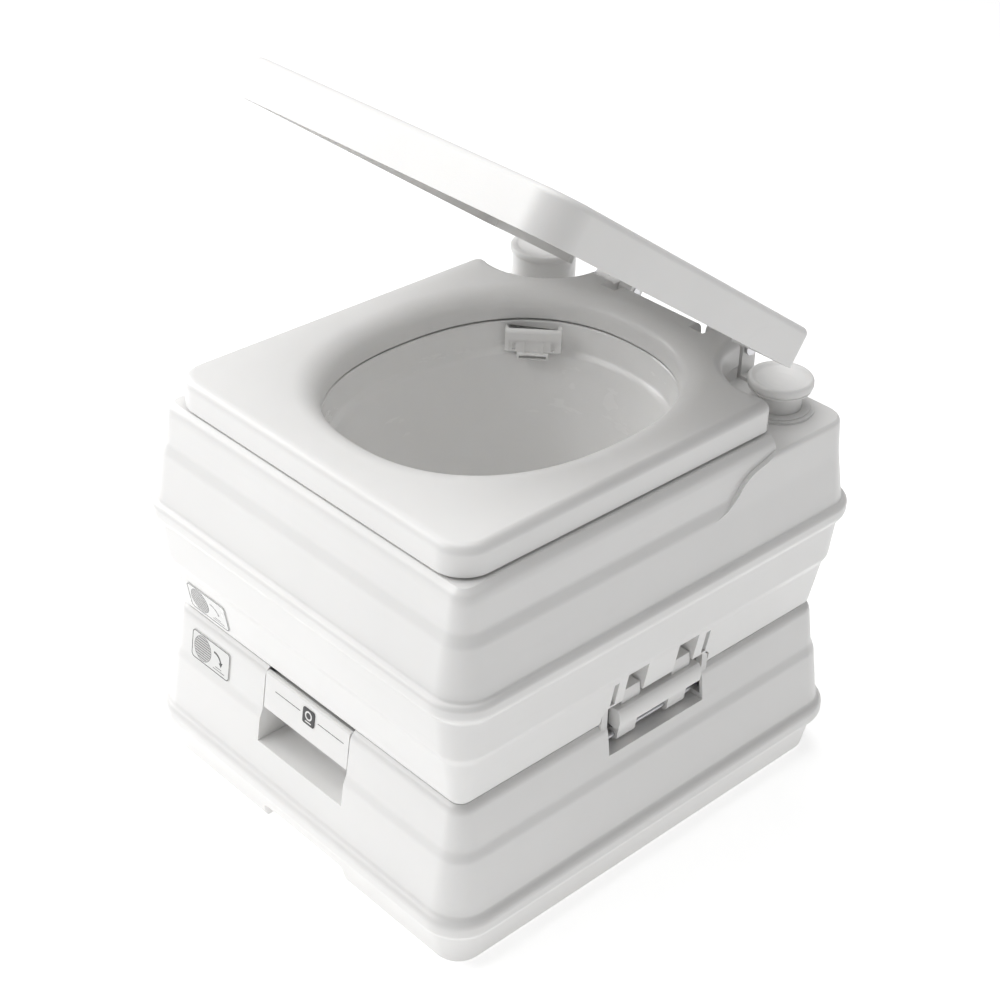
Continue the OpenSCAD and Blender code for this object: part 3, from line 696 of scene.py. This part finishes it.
def addFreshTank():
    deck, top = freshSet["deck"], freshSet["top"]
    tank = casing("freshTank", softened(freshSet["profile"], freshSet["soft"]))
    notch = freshSet["notch"]
    x, y = notch["x"], notch["y"]
    for side in (1, -1):
        corner = addBox("corner", (x - notch["inner"], notch["front"], deck), (far, far, top))
        combine(corner, addRod("sweep", (x, y, deck), (x, y, top), notch["radius"], 128), "UNION")
        combine(corner, addBox("rest", (freshSet["neck"], y, deck), (far, far, top)), "UNION")
        combine(tank, corner if side > 0 else mirrored(corner))
    combine(tank, addBox("rearDeck", (-far, freshSet["neckEnd"], deck), (far, far, top)))
    line = softened(freshSet["shoulder"], freshSet["soft"])
    shoulder = stack("shoulder", bodyHalfW, bodyHalfD, bodyRadius, line)
    combine(shoulder, shoulderTool(), "INTERSECT")
    combine(tank, shoulder, "UNION")
    a, b = freshSet["hole"]
    combine(tank, ovalShell("bowlHole", [(z, a, b, -1.4, 2.3) for z in (150, top)]))
    look = freshSet["outlet"]
    y = nodeMiddle("outlet_seal").y
    combine(tank, addRod("outletHole", (0, y, look["low"]), (0, y, look["high"]), look["radius"]))
    y, look = latchMiddle, freshSet["latchRoom"]
    low = (latchX - look["deep"], y - look["half"], look["low"])
    room = addBox("latchRoom", low, (far, y + look["half"], look["high"]))
    tools = [addTongue("tongueSlot", freshSet["tongueGap"], far), room]
    for name in ("window", "slot"):
        look = freshSet[name]
        for offset in look["at"]:
            low = (look["inner"], y + offset - look["half"], look["low"])
            tools.append(addBox(name, low, (far, y + offset + look["half"], look["high"])))
    for tool in tools:
        cutBoth(tank, tool)
    for cap in ("pump_pad", "filler_cap"):
        x, y, _ = nodeMiddle(cap)
        combine(tank, addRod("capHole", (x, y, 300), (x, y, top), freshSet["capHole"]))
    finishSkin(tank, freshSet["edge"])
    dress(tank, white, "waste_base", ["fresh_tank"])


addFreshTank()
print("fresh-water tank made")

# ---------- bowl and spray nozzle ----------

bowlSet = {
    "inner": [(142, 42, 42, 10, 2), (149, 42, 42, 10, 2), (154, 45, 47, 10, 2.05), (159, 49.5, 54, 9, 2.08),
              (165, 54, 61, 8, 2.1), (175, 62.5, 72, 7, 2.15), (185, 70, 82, 6, 2.2), (200, 79, 94, 4.5, 2.25),
              (215, 87, 104, 3, 2.3), (235, 94.5, 113, 1.5, 2.3), (255, 101, 121, 0, 2.3),
              (290, 109, 131, -1.2, 2.3), (302.5, 111.2, 133.7, -1.4, 2.3), (305, 112, 134.6, -1.4, 2.3),
              (307.6, 114.4, 137, -1.4, 2.3), (310, 116, 138.7, -1.4, 2.3), (331, 118, 141, -1.4, 2.3)],
    "wall": 3.2, "rim": 330.3, "rimRound": 1.2, "mouthFlare": 1.6, "stemHole": 6.4,
}
# Boxes as low and high corners, facing -Y at the origin before the nozzle goes to its place.
nozzleSet = {
    "place": (-76.3, 105.1), "turn": 43, "stem": 309.7, "stemRadius": 6, "boreRadius": 3.5, "edge": 0.35,
    "head": ((-23, -10, 308.2), (23, 0, 329.4)), "frontRound": 3.4, "endRound": 2,
    "topPocket": ((-20, -6.6, 322), (20, 3, 340)), "frontFlat": ((-20, -14, 300), (20, -8.6, 320)),
    "lip": ((-13, -11, 302.5), (13, -2.6, 309)), "lipRound": 1.6,
    "ribs": (-7.5, 7.5), "rib": ((-1, -10.4, 309), (1, -8, 320)),
    "keys": (-16, 16), "key": ((-1.4, -12, 310.5), (1.4, -7, 317)),
    "jet": ((-11, -14, 304), (11, -5.4, 306.6)),
}


def inNozzlePlace(obj):
    (x, y), turn = nozzleSet["place"], math.radians(nozzleSet["turn"])
    pick(obj)
    bpy.ops.transform.rotate(value=-turn, orient_axis="Z", center_override=(0, 0, 0))
    bpy.ops.transform.translate(value=(x * mm, y * mm, 0))
    return settle(obj)


def addBowl():
    wall, rim, ease = bowlSet["wall"], bowlSet["rim"], bowlSet["rimRound"]
    inner = bowlSet["inner"]
    outer = [(z - wall / 2, a + wall, b + wall, cy, bend) for z, a, b, cy, bend in inner[1:-1]]
    z, a, b, cy, bend = inner[0]
    outer = [(z + 1, a + wall, b + wall, cy, bend)] + outer
    z, a, b, cy, bend = inner[-1]
    outer += [(rim - ease, a + wall, b + wall, cy, bend), (rim, a + wall - ease, b + wall - ease, cy, bend)]
    bowl = ovalShell("bowlShell", outer)
    flare = bowlSet["mouthFlare"]
    mouth = [(inner[0][0] - 1, *inner[0][1:])] + inner[1:-1]
    mouth += [(rim - 1, a, b, cy, bend), (rim + 1, a + flare, b + flare, cy, bend)]
    combine(bowl, ovalShell("bowlInside", mouth))
    stem = nozzleSet["stem"]
    combine(bowl, inNozzlePlace(addRod("stemHole", (0, -10, stem), (0, 40, stem), bowlSet["stemHole"])))
    finishSkin(bowl)
    dress(bowl, bowlPaintedBright, "waste_base", ["bowl"])


def addNozzle():
    look = nozzleSet
    stem, end, front = look["stem"], look["head"][1][0], look["head"][0][1]
    head = addBox("sprayNozzle", *look["head"])
    roundEdges(head, lambda a, b: abs(a.x - b.x) > 9 and max(a.y, b.y) < front + 1, look["frontRound"])
    roundEdges(head, lambda a, b: abs(a.y - b.y) > 5 and abs(a.x) > end - 1, look["endRound"], 4)
    combine(head, addBox("topPocket", *look["topPocket"]))
    combine(head, addBox("frontFlat", *look["frontFlat"]))
    lip = addBox("lip", *look["lip"])
    roundEdges(lip, lambda a, b: max(a.y, b.y) < look["lip"][0][1] + 1, look["lipRound"], 4)
    combine(head, lip, "UNION")
    for x in look["ribs"]:
        combine(head, addBox("rib", *shifted(look["rib"], x)), "UNION")
    for x in look["keys"]:
        combine(head, addBox("keySlot", *shifted(look["key"], x)))
    combine(head, addBox("jet", *look["jet"]))
    combine(head, addRod("stem", (0, -4, stem), (0, 22, stem), look["stemRadius"]), "UNION")
    combine(head, addRod("stemBore", (0, -5, stem), (0, 30, stem), look["boreRadius"]))
    inNozzlePlace(head)
    finishSkin(head, look["edge"], 2)
    dress(head, bowlPaintedBright, "waste_base", ["flush_nozzle"])


addBowl()
addNozzle()
print("bowl and nozzle made")

# ---------- seat ----------

seatLow, seatHigh = nodeBox("seat")
seatSet = {
    "half": (seatHigh.x - seatLow.x) / 2, "front": seatLow.y, "neck": 82, "neckEnd": 176,
    "notch": (138, 176, 56),
    "corner": 26, "rearCorner": 9, "topEdge": 8, "lowEdge": 1.5, "hole": (118, 141, -1.4, 2.3),
    "roll": 20, "drop": 15, "rest": 332.5, "ear": (56, 69.5), "slot": (41, 56, 160),
    "hollow": {"inset": 4, "rear": 156, "high": 20, "ring": 17}, "posts": ((-165, 148), (70, 149)), "post": 9,
    "rib": {"every": 30, "half": 1.25, "low": 8, "high": 28}, "web": (172, 338, 352),
}
pivot = {"radius": 8, "bore": 4.06, "sides": 48}
hinge = Vector(next(j for j in frame["joints"] if j["name"] == "seat_hinge")["pos_m"]) / mm


def addPlan(name, grow, rear, low, high):  # the outline that seat and lid share, as a plate
    x, y, r = seatSet["notch"]
    half = seatSet["half"] + grow
    plate = addBox(name, (-half, seatSet["front"] - grow, low), (half, rear, high))
    roundEdges(plate, lambda a, b: upright(a, b) and a.y < 0, seatSet["corner"] + grow, 14)
    under, over = low - 9, high + 9
    for side in (1, -1):
        combine(plate, addRod("sweep", (side * x, y, under), (side * x, y, over), r - grow, 160))
        if rear > y:
            beside = addBox("neckSide", (seatSet["neck"] + grow, y, under), (far, far, over))
            combine(plate, beside if side > 0 else mirrored(beside))
    turn = seatSet["rearCorner"]  # what is left of each rear corner is cut round
    reach, cx = r - grow + turn, half - turn
    cy = y - math.sqrt(reach ** 2 - (cx - x) ** 2)
    for side in (1, -1):
        start, end = sorted((side * cx, side * far))
        tip = addBox("tip", (start, cy, under), (end, y - 30, over))
        combine(tip, addRod("turn", (side * cx, cy, low - 20), (side * cx, cy, high + 20), turn, 64))
        combine(plate, tip)
    return plate


def mouthRings():
    a, b, cy, bend = seatSet["hole"]
    roll, drop, top = seatSet["roll"], seatSet["drop"], seatHigh.z
    rings = [(seatSet["rest"] - 9, a, b, cy, bend), (top - drop - 2, a, b, cy, bend)]
    steps = 12
    for step in range(steps + 1):
        turn = math.pi / 2 * step / steps
        out = roll * (1 - math.cos(turn))
        rings.append((top - drop + drop * math.sin(turn), a + out, b + out, cy, bend))
    rings.append((top + 6, a + roll + 0.3, b + roll + 0.3, cy, bend))
    return rings


def addEar(piece, name, span, side, arm):  # a hinge ear with its arm and bore, joined to a piece
    start, end = sorted((side * span[0], side * span[1]))
    radius, sides = pivot["radius"], pivot["sides"]
    ear = addRod(name, (start, hinge.y, hinge.z), (end, hinge.y, hinge.z), radius, sides)
    combine(ear, arm(start, end), "UNION")
    bore = addRod("bore", (start - 9, hinge.y, hinge.z), (end + 9, hinge.y, hinge.z), pivot["bore"], sides)
    combine(ear, bore)
    combine(piece, ear, "UNION")


def seatWeb(start, end):
    y, low, high = seatSet["web"]
    return addBox("web", (start, y, low), (end, hinge.y, high))


def seatHollow(low):  # the open underside, with ribs and bumper posts left standing
    look, rib = seatSet["hollow"], seatSet["rib"]
    hollow = addPlan("hollow", -look["inset"], look["rear"], low - 5, low + look["high"])
    a, b, cy, bend = seatSet["hole"]
    ring = [(z, a + look["ring"], b + look["ring"], cy, bend) for z in (low - 20, low + 40)]
    combine(hollow, ovalShell("ringWall", ring))
    for turn in range(rib["every"] // 2, 181, rib["every"]):
        strip = addBox("rib", (-far, -rib["half"], low + rib["low"]), (far, rib["half"], low + rib["high"]))
        pick(strip)
        bpy.ops.transform.rotate(value=math.radians(turn), orient_axis="Z", center_override=(0, 0, 0))
        combine(hollow, settle(strip))
    for side in (-1, 1):
        for y, x in seatSet["posts"]:
            post = addRod("post", (side * x, y, low + 1), (side * x, y, low + 40), seatSet["post"])
            combine(hollow, post)
    return hollow


def addSeat():
    low, top = seatSet["rest"], seatHigh.z
    seat = addPlan("seatMoulding", 0, seatSet["neckEnd"], low, top)
    roundEdges(seat, atHeight(top), seatSet["topEdge"], 8, False)
    roundEdges(seat, atHeight(low), seatSet["lowEdge"], 3)
    combine(seat, ovalShell("mouth", mouthRings()))
    x0, x1, y0 = seatSet["slot"]
    for side in (1, -1):
        start, end = sorted((side * x0, side * x1))
        combine(seat, addBox("earSlot", (start, y0, low - 9), (end, far, top + 9)))
    combine(seat, seatHollow(low))
    for side in (1, -1):
        addEar(seat, "ear", seatSet["ear"], side, seatWeb)
    finishSkin(seat)
    dress(seat, seatWhite, "seat_frame", ["seat"])


addSeat()
print("seat made")

# ---------- lid ----------

lidSet = {
    "grow": 3.6, "wall": 2.5, "low": 343, "high": 374.5, "rear": 166, "topEdge": 5.3, "top": 2.8,
    "insideRound": 2.4, "rearRound": 3, "ear": (42, 55.5), "neckRoom": (90, 118),
    "arm": {"root": 152, "tip": 162, "low": 363, "high": 372, "reach": (4.5, 1), "swell": 1.5},
    "posts": ((150, -150), (150, 70)), "post": {"low": 361, "radius": 4},
    "ribs": (-120, -40, 40), "rib": {"half": 163, "thick": 1, "deep": 8, "sunk": 2},
}
lidOpen = -next(j for j in frame["joints"] if j["name"] == "lid_hinge")["range_deg"][0]


def lidArm(start, end):  # from under the lid's top, pulled out and swelled at the hinge
    look = lidSet["arm"]
    arm = addBox("arm", (start, look["root"], look["low"]), (end, look["tip"], look["high"]))
    chooseEdges(arm, lambda a, b: False)
    bpy.ops.mesh.select_mode(type="FACE")
    work = bmesh.from_edit_mesh(arm.data)
    for face in work.faces:
        face.select_set(face.normal.y > 0.9)
    bmesh.update_edit_mesh(arm.data)
    past, above = look["reach"]
    middle = (look["low"] + look["high"]) / 2
    reach = Vector((0, hinge.y - look["tip"] + past, hinge.z - middle + above)) * mm
    bpy.ops.mesh.extrude_region_move(TRANSFORM_OT_translate={"value": reach})
    bpy.ops.transform.resize(value=(1, 1, look["swell"]))
    bpy.ops.object.mode_set(mode="OBJECT")
    return arm


def addLid():  # made shut, then turned about its hinge
    low, high, rear = lidSet["low"], lidSet["high"], lidSet["rear"]
    grow, wall, ceiling = lidSet["grow"], lidSet["wall"], high - lidSet["top"]
    lid = addPlan("lidMoulding", grow, rear, low, high)
    inside = addPlan("lidInside", grow - wall, rear - wall, low - 9, ceiling)
    roundEdges(inside, atHeight(ceiling), lidSet["insideRound"], 4)
    roundEdges(lid, atHeight(high), lidSet["topEdge"], 8, False)
    roundEdges(lid, lambda a, b: upright(a, b) and a.y > rear - 1, lidSet["rearRound"], 4)
    combine(lid, inside)
    half, front = lidSet["neckRoom"]
    combine(lid, addBox("neckRoom", (-half, front, low - 9), (half, far, seatHigh.z + 0.6)))
    post, rib = lidSet["post"], lidSet["rib"]
    for x, y in lidSet["posts"]:
        for side in (1, -1):
            start, end = (side * x, y, post["low"]), (side * x, y, high - rib["sunk"])
            combine(lid, addRod("post", start, end, post["radius"], 32), "UNION")
    for y in lidSet["ribs"]:
        start = (-rib["half"], y - rib["thick"], high - rib["deep"])
        combine(lid, addBox("rib", start, (rib["half"], y + rib["thick"], high - rib["sunk"])), "UNION")
    for side in (1, -1):
        addEar(lid, "ear", lidSet["ear"], side, lidArm)
    pick(lid)
    turn = Matrix.Rotation(-math.radians(lidOpen), 4, "X")
    lid.matrix_world = Matrix.Translation(hinge * mm) @ turn @ Matrix.Translation(-hinge * mm)
    settle(lid)
    finishSkin(lid)
    dress(lid, seatWhite, "lid_panel", ["lid"])


addLid()
print("lid made")

# ---------- caps ----------

capSet = {
    "pad": [(0, 330), (14.6, 330), (14.6, 337.6), (21.5, 338), (24.6, 338.5), (24.9, 339.8), (23.6, 340.4),
            (25.4, 341.2), (26, 343.2), (25.6, 346.2), (24.6, 347.7), (23.2, 348), (21.6, 347.2),
            (19.4, 345.6), (17.4, 345), (12, 343.7), (6, 343), (0, 342.8)],
    "filler": [(0, 357.3), (24.4, 357.3), (24.4, 334), (26.6, 334), (27.2, 335), (27.2, 355), (27.4, 357.6),
               (28.6, 358.6), (29, 360), (29, 361.8), (28.2, 363.4), (26.6, 364), (24, 363.9), (22.6, 363.1),
               (20, 362.9), (0, 362.7)],
    "soft": 0.7,
}


def addCap(name, line, node, body):
    cap = turned(name, nodeMiddle(node), softened(capSet[line], capSet["soft"]))
    finishSkin(cap)
    dress(cap, seatWhite, body, [node])


addCap("pushPad", "pad", "pump_pad", "flush_pump")
addCap("fillerCap", "filler", "filler_cap", "filler_lid")
print("caps made")

# ---------- fittings kept from the frame, with eased edges ----------

easedFittings = {
    "latch_right": ("latchRight", 0.9, white, "right_latch", "white_shell"),
    "latch_left": ("latchLeft", 0.9, white, "left_latch", "white_shell"),
    "valve_handle": ("valveHandle", 0.8, white, "waste_valve", "white_shell"),
    "hinge_brackets": ("hingeBrackets", 0.7, white, "waste_base", "white_shell"),
    "valve_frame": ("valveFrame", 0.8, greyPlastic, "waste_base", "grey_plastic"),
    "valve_blade": ("valveBlade", 0.6, greyPlastic, "waste_valve", "grey_plastic"),
    "spout_elbow": ("spoutElbow", 0.9, white, "spout", "white_shell"),
    "spout_cap": ("spoutCap", 0.8, greyPlastic, "spout_end_cap", "grey_plastic"),
    "vent_button": ("ventButton", 0.6, greyPlastic, "vent", "grey_plastic"),
    "filler_neck": ("fillerNeck", 0.7, white, "waste_base", "white_shell"),
    "pump_gland": ("pumpGland", 0.5, white, "waste_base", "white_shell"),
}
for node, (name, edge, material, body, slot) in easedFittings.items():
    dress(easedNode(node, name, edge), material, body, [node])

keptNodes = {
    "valve_screws": brightSteel, "handle_screws": brightSteel, "bracket_screws": brightSteel,
    "hinge_pins": brightSteel, "latch_right_pin": brightSteel, "latch_left_pin": brightSteel,
    "pump_spring": brightSteel, "tank_gasket": blackRubber, "outlet_seal": blackRubber,
    "piston_seal": blackRubber, "filler_gasket": blackRubber, "seat_bumpers": blackRubber,
    "lid_bumpers": blackRubber, "spout_seal": blackRubber, "spout_cap_seal": blackRubber,
    "flush_hose": hosePlastic, "suction_tube": hosePlastic, "pump_barrel": white,
    "pump_plunger": white, "handle_mark": blackInk, "tank_labels": labelFilm,
}
for node, material in keptNodes.items():
    dress(nodes[node], material)
print("fittings dressed")


# ---------- printed marks ----------

markSet = {
    "proud": 0.06, "depth": 0.3, "film": 0.7, "plate": 0.6,
    "upper": ((-122, -197.75, 165.5), 10.1), "lower": ((-120, -199.46, 120), -7.85),
    "handle": ((3.5, -198, 130.5), -7.3),
    "border": {"half": (25, 13), "inset": 0.3, "line": 0.7, "corners": (3.5, 2.9)},
    "disc": {"x": -10.5, "fill": 10.9, "rings": (11.2, 10.8), "hatch": 10.4, "rows": 4, "pitch": 2.2,
             "line": 0.28},
    "arrow": {"place": (5, -4), "radius": 9, "turn": (95, 20), "head": 2.38, "flare": 1.5},
    "rules": ((4, -9.6, 19, -9.1), (7, -7.4, 15, -6.9)), "arrowLines": {"upper": 0.8, "lower": 1.7},
    "handleRules": ((-41.3, -0.3, -10.7, 0.3), (10.7, -0.3, 41.3, 0.3)),
    "glyph": {"y": 1.2, "rings": (4.1, 2.7), "bar": (-3.6, -5.2, 3.6, -4.1)},
}


def addFigure(name, spot, lift, loops):  # outlines of across and up, inked on a leaning wall
    place, lean = Vector(spot[0]), math.radians(spot[1])
    out = Vector((0, -math.cos(lean), -math.sin(lean)))
    up = Vector((0, -math.sin(lean), math.cos(lean)))
    data = bpy.data.curves.new(name, "CURVE")
    data.dimensions = "2D"
    data.fill_mode = "BOTH"
    data.extrude = markSet["depth"] / 2 * mm
    for loop in loops:
        spline = data.splines.new("POLY")
        spline.points.add(len(loop) - 1)
        for point, (u, v) in zip(spline.points, loop):
            point.co = (u * mm, v * mm, 0, 1)
        spline.use_cyclic_u = True
    obj = bpy.data.objects.new(name, data)
    bpy.context.scene.collection.objects.link(obj)
    turn = Matrix((Vector((1, 0, 0)), up, out)).transposed().to_4x4()
    middle = place + out * (lift + markSet["proud"] - markSet["depth"] / 2)
    obj.matrix_world = Matrix.Translation(middle * mm) @ turn
    pick(obj)
    bpy.ops.object.convert(target="MESH")
    return settle(obj)


def ring(cx, cy, r, sides=40, start=0.0, sweep=math.tau):
    steps = [start + sweep * i / sides for i in range(sides + (sweep < math.tau))]
    return [(cx + r * math.cos(t), cy + r * math.sin(t)) for t in steps]


def roundedBox(halfW, halfH, radius, steps=6):
    loop = []
    for quarter, (sx, sy) in enumerate(((1, 1), (-1, 1), (-1, -1), (1, -1))):
        cx, cy = sx * (halfW - radius), sy * (halfH - radius)
        loop += ring(cx, cy, radius, steps, quarter * math.pi / 2, math.pi / 2 * 0.999)
    return loop


def bar(u0, v0, u1, v1):
    return [(u0, v0), (u1, v0), (u1, v1), (u0, v1)]


def arrow(thick):  # a curved arrow, clockwise from its start to its head
    look = markSet["arrow"]
    (cx, cy), r = look["place"], look["radius"]
    start, end = (math.radians(turn) for turn in look["turn"])
    loop = ring(cx, cy, r + thick / 2, 16, start, end - start)
    back = ring(cx, cy, r - thick / 2, 16, start, end - start)
    flare, tip = thick * look["flare"], end - look["head"] * thick / r
    head = [(cx + reach * math.cos(turn), cy + reach * math.sin(turn))
            for reach, turn in ((r + flare, end), (r, tip), (r - flare, end))]
    return loop + head + back[::-1]


def addLabel(name):
    spot, border, disc = markSet[name], markSet["border"], markSet["disc"]
    ink = []
    for inset, corner in zip((border["inset"], border["inset"] + border["line"]), border["corners"]):
        ink.append(roundedBox(border["half"][0] - inset, border["half"][1] - inset, corner))
    ink += [ring(disc["x"], 0, r, 48) for r in disc["rings"]]
    for row in range(-disc["rows"], disc["rows"] + 1):
        v = row * disc["pitch"]
        half = math.sqrt(disc["hatch"] ** 2 - v ** 2)
        ink.append(bar(disc["x"] - half, v - disc["line"], disc["x"] + half, v + disc["line"]))
    ink.append(arrow(markSet["arrowLines"][name]))
    ink += [bar(*corners) for corners in markSet["rules"]]
    lift = markSet["film"]
    dress(addFigure(name + "LabelInk", spot, lift, ink), blackInk, "waste_base")
    under, plate = lift - markSet["proud"] / 2, [ring(disc["x"], 0, disc["fill"], 48)]
    fill = addFigure(name + "LabelDisc", spot, under, plate)
    dress(fill, greyPlastic, "waste_base")


def addMarks():
    for name in markSet["arrowLines"]:
        addLabel(name)
    spot, glyph = markSet["handle"], markSet["glyph"]
    rules = [bar(*corners) for corners in markSet["handleRules"]]
    dress(addFigure("handleRule", spot, 0, rules), blackInk, "waste_valve")
    shapes = [ring(0, glyph["y"], r) for r in glyph["rings"]] + [bar(*glyph["bar"])]
    dress(addFigure("handleGlyph", spot, markSet["plate"], shapes), labelFilm, "waste_valve")


addMarks()
print("printed marks made")

clearPick()
